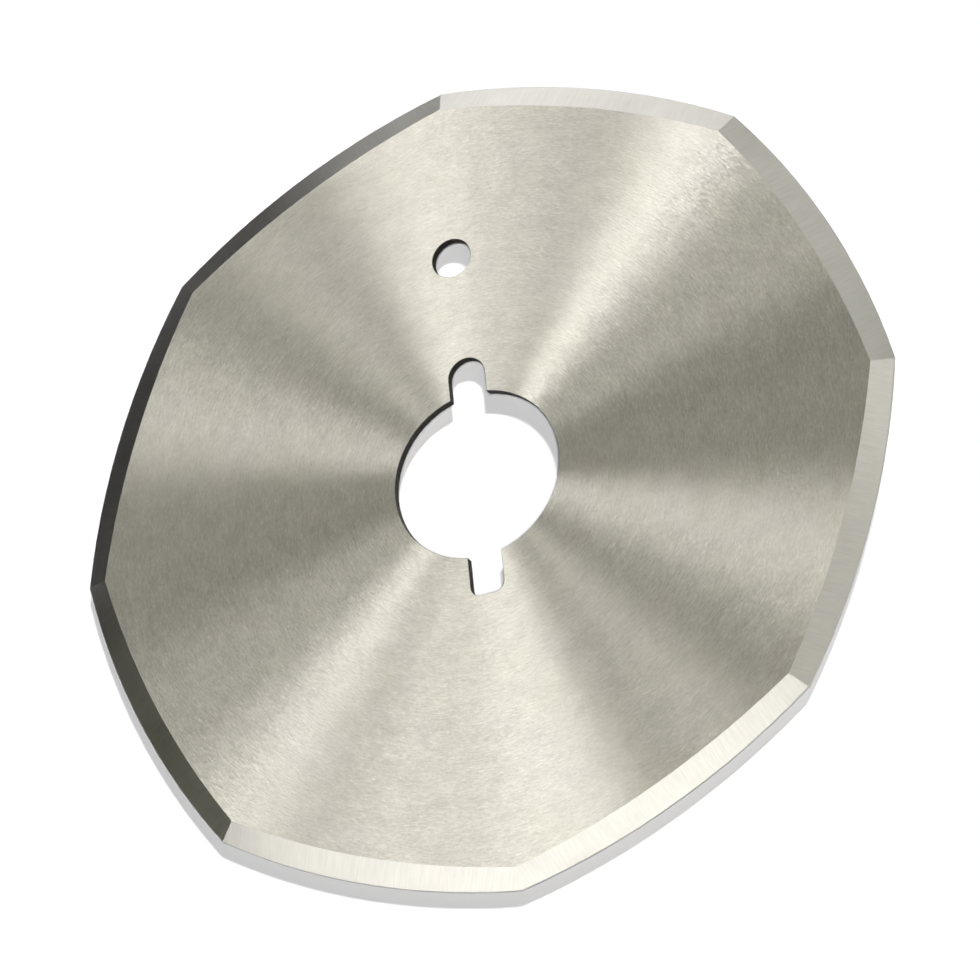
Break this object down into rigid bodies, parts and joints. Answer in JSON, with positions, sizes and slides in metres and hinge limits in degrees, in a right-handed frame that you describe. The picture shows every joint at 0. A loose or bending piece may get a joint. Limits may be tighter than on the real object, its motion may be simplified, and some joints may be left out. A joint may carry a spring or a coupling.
{
  "type": "rotary cutter blade",
  "caption": "Flat eight-sided steel blade with bowed, single-bevelled cutting edges, a keyed centre bore and a drive-pin hole.",
  "frame": {"origin": "on the centre bore's axis, in the flat back face that holds the cutting edges", "axes": "+Z along the bore's axis out of the bevelled front face; +Y to the corner in line with the drive-pin hole and the round-ended keyway"},
  "size_m": [0.1, 0.1, 0.001],
  "materials": {
    "ground_steel": "circular ground face, cross-ground bevels"
  },
  "bodies": {
    "root": {"blade": "ground_steel"}
  },
  "joints": []
}
